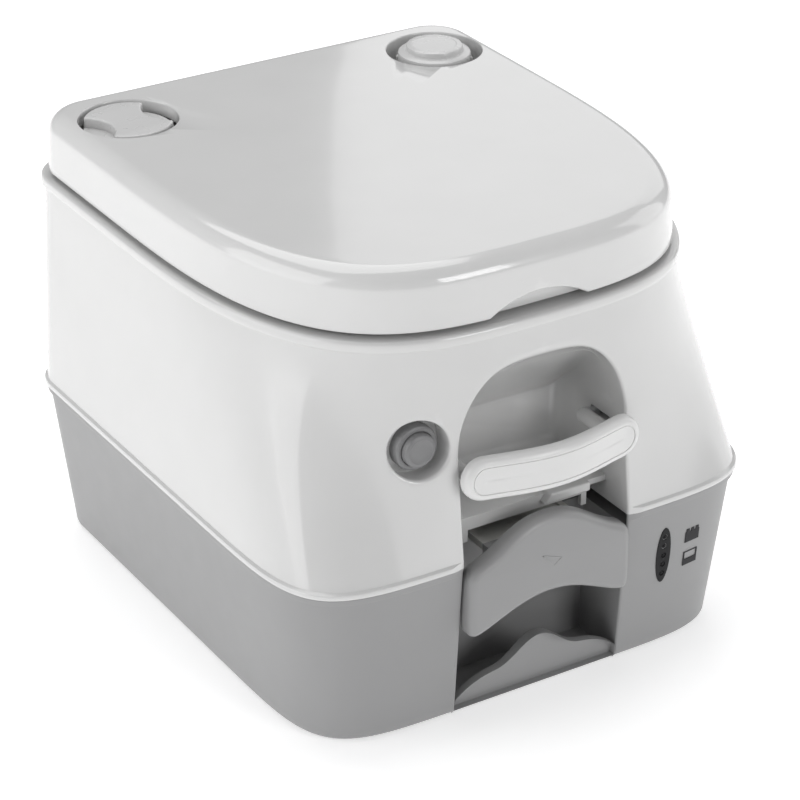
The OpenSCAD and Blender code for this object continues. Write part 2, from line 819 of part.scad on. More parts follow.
module bar_front(trim) {
    rotate([90, 0, 0])
        linear_extrude(60, center = true)
            hull()
                for (x = [-1, 1]) translate([x * (grip_len - grip_half_h), 0]) circle(grip_half_h - trim, $fn = 48);
}

module bar_layer(trim, front_trim, back_trim) {
    translate([0, 0, grip_mid_z])
        intersection() {
            translate([0, 0, -20]) linear_extrude(40) bar_plan(front_trim, back_trim, grip_len);
            translate([0, -200, 0]) bar_front(trim);
        }
}

module carry_handle() {
    color(white) {
        difference() {
            union() {
                bar_layer(3.4, 0, 0);
                bar_layer(1, 1.6, 1.2);
                bar_layer(0, 3.6, 3);
            }
            bar_layer(5.2, -5, grip_t - 1);
        }
        both_sides()
            difference() {
                union() {
                    along_y(guide_x, -190, guide_z) cylinder(r = 5, h = 40);
                    translate([guide_x, pin_y, guide_z]) sphere(r = 5);
                }
                along_x(guide_x - 3, pin_y, guide_z) cylinder(r = handle_pin_r + 0.01, h = 20);
            }
    }
}

// Inlaid face of the bar
module handle_face() {
    color(white) bar_layer(5.5, 0.2, grip_t - 0.9);
}

module handle_pins() {
    color(steel)
        both_sides() along_x(guide_x - 2.9, pin_y, guide_z) cylinder(r = handle_pin_r, h = recess_x + 6 - guide_x);
}

// ---- Hinges, seat and lid ---------------------------------------------------

knuckle_r = 4.5;
pin_r = 2;
ear_x = [40, 70];
seat_knuckle_x = [50, 59.5];
lid_knuckle_x = [60, 69.5];

module hinge_ear(low, high) {
    difference() {
        union() {
            along_x(low, hinge_y, hinge_z) cylinder(r = knuckle_r, h = high - low);
            block([low, half_d + 0.1, 240], [high, hinge_y + knuckle_r, hinge_z]);
        }
        along_x(low - 1, hinge_y, hinge_z) cylinder(r = pin_r + 0.01, h = high - low + 2);
    }
}

module hinge_brackets() {
    color(white)
        both_sides()
            difference() {
                union() {
                    hinge_ear(ear_x[0], ear_x[0] + 9);
                    hinge_ear(ear_x[1], ear_x[1] + 6);
                    block([ear_x[0], half_d + 0.1, 238], [ear_x[1] + 6, half_d + 3.1, 266]);
                }
                hinge_screw_holes();
            }
}

module hinge_screw_holes() {
    for (x = [54, 65]) along_y(x, half_d - 12, 252) cylinder(r = 1.8, h = 30);
}

module hinge_screws() {
    color(steel)
        both_sides()
            for (x = [54, 65]) {
                along_y(x, half_d - 10, 252) cylinder(r = 1.7, h = 13.5);
                along_y(x, half_d + 3.15, 252) cylinder(r = 3.2, h = 1.8);
            }
}

module hinge_pins() {
    color(steel) both_sides() along_x(ear_x[0] + 0.5, hinge_y, hinge_z) cylinder(r = pin_r, h = 35);
}

module seat() {
    opening = [-30, seat_open_x, seat_open_y];
    low = deck_z + 2.7;
    outer = ring(seat_line, 0);
    color(white)
        union() {
            loop_loft([
                ring(inset(seat_line, 2), low), ring(seat_line, low + 3), ring(seat_line, seat_top_z - 6),
                ring(inset(seat_line, 2), seat_top_z - 1.8), ring(inset(seat_line, 7), seat_top_z),
                on_ellipse(outer, opening + [0, 8, 8], seat_top_z), on_ellipse(outer, opening + [0, 3, 3], seat_top_z - 1.4),
                on_ellipse(outer, opening, seat_top_z - 5), on_ellipse(outer, opening, low + 2),
                on_ellipse(outer, opening + [0, 3, 3], low)]);
            block([-78, 90, deck_z + 5], [78, half_d - 11, deck_z + 14]);
            both_sides() {
                difference() {
                    union() {
                        block([seat_knuckle_x[0], half_d - 12, hinge_z - 3], [seat_knuckle_x[1], hinge_y, hinge_z + 3]);
                        along_x(seat_knuckle_x[0], hinge_y, hinge_z) cylinder(r = knuckle_r, h = 9.5);
                    }
                    along_x(seat_knuckle_x[0] - 1, hinge_y, hinge_z) cylinder(r = pin_r + 0.08, h = 12);
                }
            }
        }
}

module seat_buffers() {
    color(rubber)
        for (p = [[-112, -78], [112, -78], [-126, 70], [126, 70]])
            translate([p.x, p.y, deck_z + 0.2]) cylinder(r = 6, h = 2.4);
}

function lid_round_ring(angle) = ring(inset(lid_line, 1.4 + lid_round * (1 - cos(angle))),
    lid_top_z - 0.5 - lid_round * (1 - sin(angle)));

module lid() {
    ceiling = lid_top_z - 3.4;
    color(white)
        difference() {
            union() {
                loft([ring(inset(lid_line, lid_round + 4), ceiling), ring(inset(lid_line, 8), ceiling - 4),
                    ring(inset(lid_line, 4.4), ceiling - 11), ring(inset(lid_line, 3), lid_low_z),
                    ring(lid_line, lid_low_z), ring(inset(lid_line, 0.7), 285),
                    lid_round_ring(0), lid_round_ring(22), lid_round_ring(45), lid_round_ring(67),
                    lid_round_ring(90), ring(inset(lid_line, 45), lid_top_z)]);
                for (x = [-cap_x, cap_x]) translate([x, cap_y, lid_top_z - 6]) cylinder(r = 36, h = 3.5);
                both_sides() {
                    translate([100, -60, seat_top_z + 6]) cylinder(r = 7, h = ceiling - seat_top_z - 5);
                    block([lid_knuckle_x[0], half_d - 7, hinge_z - 3], [lid_knuckle_x[1], hinge_y, hinge_z + 3]);
                    along_x(lid_knuckle_x[0], hinge_y, hinge_z) cylinder(r = knuckle_r, h = 9.5);
                }
            }
            for (x = [-cap_x, cap_x]) translate([x, cap_y, 290]) cylinder(r = 33, h = 40);
            both_sides() {
                along_x(lid_knuckle_x[0] - 1, hinge_y, hinge_z) cylinder(r = pin_r + 0.08, h = 12);
                block([seat_knuckle_x[0] - 0.5, half_d - 12, lid_low_z - 5], [seat_knuckle_x[1] + 0.4, hinge_y, hinge_z + 10]);
                translate([100, -60, seat_top_z + 2]) cylinder(r = 3, h = 10);
            }
            along_y(0, -220, lid_low_z - 54.3) cylinder(r = 64.6, h = 70);
        }
}

module lid_buffers() {
    color(rubber)
        both_sides() translate([100, -60, 0]) {
            translate([0, 0, seat_top_z + 0.3]) cylinder(r = 6.5, h = 5.5);
            translate([0, 0, seat_top_z + 5.7]) cylinder(r = 2.9, h = 5.8);
        }
}

// ---- Rear latch between the two halves --------------------------------------

latch_y = half_d - 6;
latch_z = 140;
latch_half = 19;
latch_pin_r = 2;

module latch_bay() {
    block([-latch_half - 2, half_d - 13, joint_z - 5], [latch_half + 2, half_d + 5, 166]);
}

// Walls round the bay, inside the shell
module latch_bay_walls() {
    block([-latch_half - 5, half_d - 16, joint_z], [latch_half + 5, half_d - 2.5, 169]);
}

module latch_pin_holes() {
    along_x(-latch_half - 3.2, latch_y, latch_z) cylinder(r = latch_pin_r + 0.03, h = 2 * latch_half + 6.4);
}

module latch_keeper_slot() {
    block([-latch_half - 1, half_d - 5.6, 96], [latch_half + 1, half_d + 5, joint_z + 1]);
}

module tank_latch() {
    color(grey)
        difference() {
            union() {
                block([-latch_half, half_d - 5, 100], [latch_half, half_d - 1, 163]);
                along_x(-latch_half, latch_y, latch_z) cylinder(r = 4, h = 2 * latch_half);
            }
            along_x(-latch_half - 1, latch_y, latch_z) cylinder(r = latch_pin_r + 0.08, h = 2 * latch_half + 2);
        }
}

module latch_pin() {
    color(steel) along_x(-latch_half - 3, latch_y, latch_z) cylinder(r = latch_pin_r, h = 2 * latch_half + 6);
}

module latch_spring() {
    color(steel) along_y(0, half_d - 12.8, 156) tube(4, 3, 0, 7.6);
}

waste_tank();
valve_body();
valve_seal();
valve_screws();
valve_blade();
valve_handle();
handle_screws();
level_window();
level_icons();
pour_spout();
spout_ring();
spout_cap();
spout_gasket();
vent_button();
vent_spring();
upper_shell();
bowl();
outlet_seal();
fill_neck();
fill_gasket();
fill_cap();
pump_cylinder();
pump_guide();
foot_valve();
pump_rod();
pump_piston();
piston_seal();
pump_knob();
flush_valve();
button_collar();
flush_button();
flush_spring();
dip_tube();
flush_tube();
rim_nozzle();
carry_handle();
handle_face();
handle_pins();
hinge_brackets();
hinge_screws();
hinge_pins();
seat();
seat_buffers();
lid();
lid_buffers();
tank_latch();
latch_pin();
latch_spring();
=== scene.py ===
import json
import math
from typing import NamedTuple

import bmesh
import bpy
import numpy as np
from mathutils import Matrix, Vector
from mathutils.geometry import tessellate_polygon


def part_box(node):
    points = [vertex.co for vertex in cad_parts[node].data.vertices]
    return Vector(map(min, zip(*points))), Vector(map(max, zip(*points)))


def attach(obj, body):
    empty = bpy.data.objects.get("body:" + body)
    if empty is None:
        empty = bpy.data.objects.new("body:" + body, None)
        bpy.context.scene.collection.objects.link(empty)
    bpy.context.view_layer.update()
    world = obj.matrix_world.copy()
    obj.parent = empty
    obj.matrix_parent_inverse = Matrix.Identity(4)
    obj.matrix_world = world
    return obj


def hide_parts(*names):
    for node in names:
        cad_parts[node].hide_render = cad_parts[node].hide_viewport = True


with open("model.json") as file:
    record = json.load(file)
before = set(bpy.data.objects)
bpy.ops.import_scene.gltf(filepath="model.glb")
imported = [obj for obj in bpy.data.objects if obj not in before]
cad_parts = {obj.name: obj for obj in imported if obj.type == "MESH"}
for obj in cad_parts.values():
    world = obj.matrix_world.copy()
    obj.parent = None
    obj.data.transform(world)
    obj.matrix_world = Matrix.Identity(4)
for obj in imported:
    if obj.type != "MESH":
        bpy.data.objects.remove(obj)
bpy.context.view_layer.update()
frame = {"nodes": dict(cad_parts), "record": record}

MM = 0.001


def cad(node):
    """Lowest and highest corner of a CAD node, in millimetres."""
    low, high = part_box(node)
    return np.array(low) / MM, np.array(high) / MM


# ---- Sizes, in millimetres, from the frame ----------------------------------

shell_low, shell_high = cad("upper_shell")
lid_high = cad("lid")[1]
cap_low, cap_high = cad("fill_cap")
knob_low, knob_high = cad("pump_knob")
button_low, button_high = cad("flush_button")
collar_low = cad("button_collar")[0]
valve_low = cad("valve_handle")[0]
bar_low, bar_high = cad("carry_handle")
seat_high = cad("seat")[1]

HALF_W = shell_high[0]
HALF_D = 193.0
JOINT_Z = shell_low[2]
DECK_Z = shell_high[2]
LID_TOP = lid_high[2]
LID_EDGE = LID_TOP - 39.6
SKIRT_Z = JOINT_Z + 4.8
FLANGE_Z = DECK_Z - 7
BAND_Z = JOINT_Z - 4.7
TANK_DECK = JOINT_Z - 9.7
WALL = 3.0
TANK_SKIN = 3.2
FOOT_Z, WALL_TOP_Z = 5.0, JOINT_Z - 5.7
RECESS_X = 61.5
RECESS_BACK = -115.0
TANK_RECESS_BACK = -141.0
ARCH_Z = 186.0
LEDGE_Z, LEDGE_Y = 131.0, -165.0
CREASE_Z = 179.0
OUTLET = (0.0, -15.0)
OUTLET_R = 46.0
CAP_X = abs(cap_low[0] + cap_high[0]) / 2
CAP_Y = (cap_low[1] + cap_high[1]) / 2
BUTTON_X = (button_low[0] + button_high[0]) / 2
BUTTON_Z = (button_low[2] + button_high[2]) / 2
CUP_R, CUP_FLOOR = 20.4, -166.0
PIN_Y, PIN_Z = 196, 276

FRONT_STEPS, SIDE_STEPS, CORNER_STEPS, REAR_STEPS = 200, 12, 14, 20


class Line(NamedTuple):
    """Outline seen from above: a superellipse round the front and two round rear corners."""
    half: float
    front: float
    rear: float
    centre: float
    corner: float
    square: float

    def inset(self, d):
        corner = max(self.corner - d, 4)
        return Line(self.half - d, self.front + d, self.rear - d, self.centre, corner, self.square)


BASE = Line(HALF_W - 17.7, 14 - HALF_D, HALF_D - 11.5, 0, 32, 7.2)
FOOT = Line(HALF_W - 14.7, 11 - HALF_D, HALF_D - 8.4, 0, 34, 7.2)
TANK = Line(HALF_W - 3.2, 3 - HALF_D, HALF_D - 3, 3, 35, 7.2)
RIM = Line(HALF_W - 1.2, 1.2 - HALF_D, HALF_D - 1.2, 3, 36, 7.2)
FLANGE = Line(HALF_W, -HALF_D, HALF_D, 3, 36, 7.2)
SKIRT = Line(HALF_W - 2, 2 - HALF_D, HALF_D - 2, 3, 34, 7.2)
NECK = Line(HALF_W - 9, 13.8 - HALF_D, HALF_D - 2, 74.7, 34, 3.3)
DECK = Line(HALF_W - 7, 11.8 - HALF_D, HALF_D, 74.7, 35, 3.3)
LID = Line(HALF_W - 11.3, 16.2 - HALF_D, HALF_D - 5, 77.6, 33, 3.32)
SEAT = Line(HALF_W - 17, 22 - HALF_D, 95, 78, 16, 3.32)


# ---- Mesh tools -------------------------------------------------------------

def mix(a, b, t):
    return a + (b - a) * t


def ring(line, z):
    """Points of an outline at height z."""
    angle = np.radians(np.linspace(180, 360, FRONT_STEPS + 1))
    depth, n = line.centre - line.front, line.square
    r = ((abs(np.cos(angle)) / line.half) ** n + (abs(np.sin(angle)) / depth) ** n) ** (-1 / n)
    front = np.stack([r * np.cos(angle), line.centre + r * np.sin(angle)], 1)
    side_y = np.linspace(line.centre, line.rear - line.corner, SIDE_STEPS + 2)[1:-1]
    turn = np.radians(np.linspace(0, 90, CORNER_STEPS + 1))
    flat = line.half - line.corner
    corner = np.stack([flat + line.corner * np.cos(turn), line.rear - line.corner * (1 - np.sin(turn))], 1)
    rear_x = np.linspace(flat, -flat, REAR_STEPS + 1)[1:-1]
    flat_rear = np.stack([rear_x, np.full_like(rear_x, line.rear)], 1)
    right = np.stack([np.full_like(side_y, line.half), side_y], 1)
    mirror = np.array([-1, 1])
    left = [(corner * mirror)[::-1], (right * mirror)[::-1]]
    points = np.concatenate([front, right, corner, flat_rear, *left])
    return np.column_stack([points, np.full(len(points), float(z))])


def on_oval(points, centre_y, half_x, half_y, z):
    """The same points moved radially on to an ellipse."""
    x, y = points[:, 0], points[:, 1] - centre_y
    k = 1 / np.sqrt((x / half_x) ** 2 + (y / half_y) ** 2)
    return np.column_stack([k * x, centre_y + k * y, np.full(len(x), float(z))])


def oval(centre_x, centre_y, half_x, half_y, z, count=144):
    turn = np.linspace(0, 2 * math.pi, count, endpoint=False)
    return np.column_stack([centre_x + half_x * np.cos(turn), centre_y + half_y * np.sin(turn),
                            np.full(count, float(z))])


def solid(name, verts, faces):
    """A mesh object from points in millimetres, its normals outwards."""
    mesh = bpy.data.meshes.new(name)
    mesh.from_pydata((np.asarray(verts, float) * MM).tolist(), [], faces)
    bm = bmesh.new()
    bm.from_mesh(mesh)
    bmesh.ops.remove_doubles(bm, verts=bm.verts, dist=1e-7)
    bmesh.ops.recalc_face_normals(bm, faces=bm.faces)
    bm.to_mesh(mesh)
    bm.free()
    obj = bpy.data.objects.new(name, mesh)
    bpy.context.scene.collection.objects.link(obj)
    return obj


def loft(name, rings, loop=False, ends=None):
    """A solid through rings, closed by its end rings or, as a loop, by coming round to the first.

    ends holds the two end rings laid flat, by which a hollow-sided outline is filled."""
    count, total = len(rings[0]), len(rings)
    faces = []
    for k in range(total if loop else total - 1):
        a, b = k * count, (k + 1) % total * count
        faces += [(a + i, a + (i + 1) % count, b + (i + 1) % count, b + i) for i in range(count)]
    if ends is not None:
        for first, flat in zip((0, (total - 1) * count), ends):
            fill = tessellate_polygon([[Vector((*point, 0)) for point in flat]])
            faces += [tuple(first + i for i in face) for face in fill]
    elif not loop:
        faces += [tuple(range(count)), tuple(range((total - 1) * count, total * count))[::-1]]
    return solid(name, np.concatenate(rings), faces)


def block(low, high):
    """A cutter in the form of a box."""
    corners = [[x, y, z] for z in (low[2], high[2]) for x, y in
               ((low[0], low[1]), (high[0], low[1]), (high[0], high[1]), (low[0], high[1]))]
    faces = [(0, 3, 2, 1), (4, 5, 6, 7), (0, 1, 5, 4), (1, 2, 6, 5), (2, 3, 7, 6), (3, 0, 4, 7)]
    return solid("block", corners, faces)


def lathe(name, profile, centre=(0, 0, 0), axis="z", count=128):
    """A solid of revolution from (radius, height) points, closed on its axis at both ends."""
    turn = np.linspace(0, 2 * math.pi, count, endpoint=False)
    rings = []
    for r, h in profile:
        a, b = r * np.cos(turn), r * np.sin(turn)
        height = np.full(count, float(h))
        columns = {"z": (a, b, height), "y": (a, height, b), "x": (height, a, b)}[axis]
        rings.append(np.column_stack(columns) + np.array(centre))
    return loft(name, rings)


def ring_tube(name, inner, outer, low, high, centre, edge=0.6):
    """A tube with rounded rims, about the vertical."""
    turn = np.linspace(0, 2 * math.pi, 128, endpoint=False)
    profile = [(outer, low + edge), (outer, high - edge), (outer - edge / 3, high - edge / 3),
               (outer - edge, high),
               (inner + edge, high), (inner + edge / 3, high - edge / 3), (inner, high - edge),
               (inner, low + edge), (inner + edge, low), (outer - edge, low)]
    rings = [np.column_stack([r * np.cos(turn), r * np.sin(turn), np.full(128, float(h))]) + np.array(centre)
             for r, h in profile]
    return loft(name, rings, loop=True)


def combine(obj, others, operation):
    """Applies one exact boolean of obj with the others, and removes them."""
    for other in others:
        step = obj.modifiers.new(operation, "BOOLEAN")
        step.operation, step.solver, step.object = operation, "EXACT", other
        made = bpy.data.meshes.new_from_object(obj.evaluated_get(bpy.context.evaluated_depsgraph_get()))
        obj.modifiers.clear()
        obj.data = made
        bpy.data.objects.remove(other)
    return obj


def finish_piece(obj, body, material, nodes=(), sharp=32):
    """Shades a piece, gives it its material and fixes it to its body."""
    mesh = obj.data
    mesh.materials.clear()
    mesh.materials.append(material)
    mesh.polygons.foreach_set("use_smooth", [True] * len(mesh.polygons))
    mesh.set_sharp_from_angle(angle=math.radians(sharp))
    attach(obj, body)
    if nodes:
        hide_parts(*nodes)
    return obj


def quarter(radius, steps=6, start=90):
    """Points of a rounded edge as (distance from the wall, depth), from the face inwards."""
    return [(radius * (1 - math.cos(t)), radius * (1 - math.sin(t)))
            for t in np.radians(np.linspace(start, 0, steps))]


def wall_ring(z, d=0.0):
    """Outline of the white shell's wall at a height, moved inwards by d."""
    t = (z - SKIRT_Z) / (FLANGE_Z - SKIRT_Z)
    return mix(ring(SKIRT.inset(d), z), ring(NECK.inset(d), z), t)


def tank_ring(z, d=0.0):
    t = (z - FOOT_Z) / (WALL_TOP_Z - FOOT_Z)
    return mix(ring(FOOT.inset(d), z), ring(TANK.inset(d), z), t)


def front_of(ring_at):
    """A function that gives the front's y at points x, z, for outlines given by ring_at(z)."""
    def surface(x, z):
        found = np.empty(len(x))
        for i, (px, pz) in enumerate(zip(x, z)):
            front = ring_at(pz)[:FRONT_STEPS + 1]
            found[i] = np.interp(px, front[:, 0], front[:, 1])
        return found
    return surface


def mouth(curve, surface, radius, back, front=-235, rows=10, ceiling=None):
    """A cutter along Y whose mouth is rounded where it meets a curved front."""
    start = 76
    edge = quarter(radius, 7, start)
    flare, lift = 10 * math.sin(math.radians(start)), 10 * math.cos(math.radians(start))
    rings = []

    def add(offset, depth, y=None):
        points = curve(offset)
        x, z = points[:, 0], points[:, 1].copy()
        place = surface(x, z) + depth if y is None else np.full(len(x), float(y))
        if ceiling is not None and y is None:
            z = under(z, ceiling(place) + offset)
        rings.append(np.column_stack([x, place, z]))

    add(edge[0][0] + flare, 0, front)
    add(edge[0][0] + flare, edge[0][1] - lift)
    for offset, depth in edge:
        add(offset, depth)
    near = rings[-1]
    for k in range(1, rows + 1):
        far = near.copy()
        far[:, 1] = mix(near[:, 1], back, k / rows)
        if ceiling is not None:
            far[:, 2] = under(curve(edge[-1][0])[:, 1], ceiling(far[:, 1]))
        rings.append(far)
    return loft("mouth", rings)


def arch(low, half=RECESS_X):
    """Outline of the front recess at an offset: straight sides under a round top."""
    def curve(offset):
        r = half + offset
        side = np.linspace(low - offset, ARCH_Z, 28)
        turn = np.radians(np.linspace(180, 0, 73))[1:-1]
        left = np.stack([np.full_like(side, -r), side], 1)
        top = np.stack([r * np.cos(turn), ARCH_Z + r * np.sin(turn)], 1)
        bottom_x = np.linspace(r, -r, 12)[1:-1]
        bottom = np.stack([bottom_x, np.full_like(bottom_x, low - offset)], 1)
        return np.concatenate([left, top, (left * np.array([-1, 1]))[::-1], bottom])
    return curve


def circle_curve(x, z, radius):
    def curve(offset):
        turn = np.linspace(0, 2 * math.pi, 96, endpoint=False)
        return np.stack([x + (radius + offset) * np.cos(turn), z + (radius + offset) * np.sin(turn)], 1)
    return curve


def resample(points, spacing, rounds):
    """A closed outline with even spacing, its corners rounded by averaging."""
    points = np.asarray(points, float)
    closed = np.vstack([points, points[:1]])
    run = np.concatenate([[0], np.cumsum(np.linalg.norm(np.diff(closed, axis=0), axis=1))])
    count = int(run[-1] / spacing)
    at = np.linspace(0, run[-1], count, endpoint=False)
    even = np.stack([np.interp(at, run, closed[:, k]) for k in (0, 1)], 1)
    for _ in range(rounds):
        even = 0.5 * even + 0.25 * (np.roll(even, 1, 0) + np.roll(even, -1, 0))
    return even


def shrink(outline, d):
    """An outline moved inwards by d along its normals."""
    ahead = np.roll(outline, -1, 0) - np.roll(outline, 1, 0)
    ahead /= np.linalg.norm(ahead, axis=1)[:, None]
    area = np.sum(outline[:, 0] * np.roll(outline[:, 1], -1) - np.roll(outline[:, 0], -1) * outline[:, 1])
    inwards = np.stack([-ahead[:, 1], ahead[:, 0]], 1) * math.copysign(1, area)
    return outline + inwards * d


def slab(name, outline, back, front, radius, place, back_radius=1.0):
    """A plate with rounded edges: place(points, depth) puts an outline at a depth."""
    direction = math.copysign(1, front - back)
    rings = [place(shrink(outline, o), back + direction * d) for o, d in quarter(back_radius, 5)]
    rings += [place(shrink(outline, o), front - direction * d) for o, d in quarter(radius, 9)[::-1]]
    return loft(name, rings, ends=(shrink(outline, back_radius), shrink(outline, radius)))


# ---- Materials --------------------------------------------------------------

class Finish(NamedTuple):
    """Colour, gloss and grain of one material."""
    colour: tuple
    rough: float
    coat: float = 0.0
    grain: float = 0.04
    grain_scale: float = 700.0
    spread: float = 0.03
    metal: float = 0.0
    shine: float = 0.5


def new_node(tree, kind, **sockets):
    made = tree.nodes.new(kind)
    for name, value in sockets.items():
        made.inputs[name.replace("_", " ")].default_value = value
    return made


def plastic(name, finish):
    """A moulded surface: faint colour and gloss variation, sharp convex edges painted lighter as a painted
    highlight, and a fine grain.
    """
    material = bpy.data.materials.new(name)
    material.use_nodes = True
    tree = material.node_tree
    shader = tree.nodes["Principled BSDF"]
    shader.inputs["Metallic"].default_value = finish.metal
    shader.inputs["Coat Weight"].default_value = finish.coat
    shader.inputs["Coat Roughness"].default_value = 0.06
    shader.inputs["IOR"].default_value = 1.5
    shader.inputs["Specular IOR Level"].default_value = finish.shine
    link = tree.links.new
    place = tree.nodes.new("ShaderNodeTexCoord").outputs["Object"]
    cloud = new_node(tree, "ShaderNodeTexNoise", Scale=22.0, Detail=4.0)
    link(place, cloud.inputs["Vector"])
    base = np.array(finish.colour)
    tone = tree.nodes.new("ShaderNodeValToRGB")
    tone.color_ramp.elements[0].color = (*(base * (1 - finish.spread)), 1)
    tone.color_ramp.elements[1].color = (*np.minimum(base * (1 + finish.spread), 1), 1)
    link(cloud.outputs["Fac"], tone.inputs["Fac"])
    # Painted highlight: the sharpest convex edges, found by pointiness, are painted lighter than the base
    # colour.
    edge_highlight_mask = tree.nodes.new("ShaderNodeValToRGB")
    edge_highlight_mask.color_ramp.elements[0].position, edge_highlight_mask.color_ramp.elements[1].position = 0.52, 0.6
    link(tree.nodes.new("ShaderNodeNewGeometry").outputs["Pointiness"], edge_highlight_mask.inputs["Fac"])
    edge_highlight_mix = tree.nodes.new("ShaderNodeMix")
    edge_highlight_mix.data_type = "RGBA"
    strength = new_node(tree, "ShaderNodeMath")
    strength.operation = "MULTIPLY"
    strength.inputs[1].default_value = 0.18
    link(edge_highlight_mask.outputs["Color"], strength.inputs[0])
    link(strength.outputs[0], edge_highlight_mix.inputs["Factor"])
    link(tone.outputs["Color"], edge_highlight_mix.inputs["A"])
    edge_highlight_mix.inputs["B"].default_value = (*np.minimum(base * 1.15 + 0.02, 1), 1)
    link(edge_highlight_mix.outputs["Result"], shader.inputs["Base Color"])
    smear = new_node(tree, "ShaderNodeTexNoise", Scale=60.0, Detail=3.0)
    link(place, smear.inputs["Vector"])
    gloss = tree.nodes.new("ShaderNodeMapRange")
    gloss.inputs["To Min"].default_value = finish.rough * 0.85
    gloss.inputs["To Max"].default_value = finish.rough * 1.15
    link(smear.outputs["Fac"], gloss.inputs["Value"])
    link(gloss.outputs["Result"], shader.inputs["Roughness"])
    grain = new_node(tree, "ShaderNodeTexNoise", Scale=finish.grain_scale, Detail=2.0)
    link(place, grain.inputs["Vector"])
    bump = new_node(tree, "ShaderNodeBump", Strength=finish.grain, Distance=0.0003)
    link(grain.outputs["Fac"], bump.inputs["Height"])
    link(bump.outputs["Normal"], shader.inputs["Normal"])
    return material


FINISHES = {
    "white_shell": Finish((0.64, 0.64, 0.636), 0.16, 0.5, 0.02, 500),
    "white_lid": Finish((0.68, 0.68, 0.676), 0.14, 0.6, 0.015, 400),
    "white_seat": Finish((0.62, 0.62, 0.617), 0.2, 0.4, 0.02, 500),
    "white_caps": Finish((0.62, 0.62, 0.617), 0.28, 0.2, 0.03, 600),
    "white_handle": Finish((0.70, 0.70, 0.695), 0.3, 0.2, 0.03, 600),
    "bowl_white": Finish((0.66, 0.66, 0.655), 0.16, 0.5, 0.02, 500),
    "tank_grey": Finish((0.30, 0.30, 0.302), 0.42, 0.0, 0.10, 1100),
    "valve_grey": Finish((0.30, 0.30, 0.302), 0.38, 0.05, 0.08, 1100),
    "inner_grey": Finish((0.17, 0.17, 0.175), 0.45, 0.0, 0.08, 900),
    "button_grey": Finish((0.20, 0.20, 0.203), 0.4, 0.0, 0.06, 900),
    "natural_plastic": Finish((0.60, 0.60, 0.57), 0.35, 0.0, 0.05, 900),
    "window_black": Finish((0.010, 0.010, 0.011), 0.3, 0.0, 0.02, 500, shine=0.15),
    "print_black": Finish((0.035, 0.035, 0.037), 0.6, 0.0, 0.05, 900, shine=0.15),
    "rubber_black": Finish((0.025, 0.025, 0.026), 0.7, 0.0, 0.15, 900),
    "steel": Finish((0.55, 0.55, 0.56), 0.3, 0.0, 0.05, 1500, 0.04, 1.0),
}
MATERIALS = {name: plastic(name, finish) for name, finish in FINISHES.items()}


# ---- White upper unit -------------------------------------------------------

def recess_ceiling(y):
    """The recess's roof slopes down from its mouth to the crease over its back wall."""
    return CREASE_Z + np.maximum(0, RECESS_BACK - y) * 0.97


def under(z, ceiling, blend=5.0):
    """Heights kept below a ceiling, with a rounded corner where the two meet."""
    return z - blend * np.logaddexp(0, (z - ceiling) / blend)


def shell_skin():
    """Outer and inner faces of the shell as one closed loop of rings."""
    bead = [(0.9, JOINT_Z), (0.25, JOINT_Z + 0.25), (0, JOINT_Z + 0.9), (0, SKIRT_Z - 1.9),
            (0.3, SKIRT_Z - 1.2), (1.0, SKIRT_Z - 0.75)]
    rings = [ring(FLANGE.inset(d), z) for d, z in bead]
    rings += [wall_ring(z) for z in np.linspace(SKIRT_Z, FLANGE_Z - 0.5, 30)]
    top = [(1.0, FLANGE_Z - 0.1), (0.3, FLANGE_Z + 0.3), (0, FLANGE_Z + 1), (0, DECK_Z - 2),
           (0.35, DECK_Z - 0.9), (1, DECK_Z - 0.25), (2, DECK_Z), (5, DECK_Z)]
    rings += [ring(DECK.inset(d), z) for d, z in top]
    flat = ring(DECK, 0)
    rings += [on_oval(flat, -30, 104 + d, 112 + d, DECK_Z - h)
              for d, h in ((6, 0), (2, 0), (0.6, 0.5), (0, 1.6), (0, WALL))]
    rings += [ring(NECK.inset(WALL), DECK_Z - WALL)]
    rings += [wall_ring(z, WALL) for z in np.linspace(FLANGE_Z, SKIRT_Z, 16)]
    rings.append(ring(SKIRT.inset(WALL), JOINT_Z))
    return loft("shell", rings, loop=True)


def shell_inside(d=0.6):
    """The space that walls added to the shell may fill."""
    heights = np.linspace(SKIRT_Z, FLANGE_Z, 20)
    return loft("inside", [ring(SKIRT.inset(d), JOINT_Z)] + [wall_ring(z, d) for z in heights])


def recess_box():
    """Walls of the recess before it is hollowed out."""
    outline = arch(JOINT_Z + 0.01, RECESS_X + WALL)(0)
    return loft("recess_box", [np.column_stack([outline[:, 0], np.full(len(outline), y),
                                                under(outline[:, 1], recess_ceiling(y - WALL) + WALL)])
                               for y in (-225, *np.linspace(-190, RECESS_BACK + WALL, 16))])


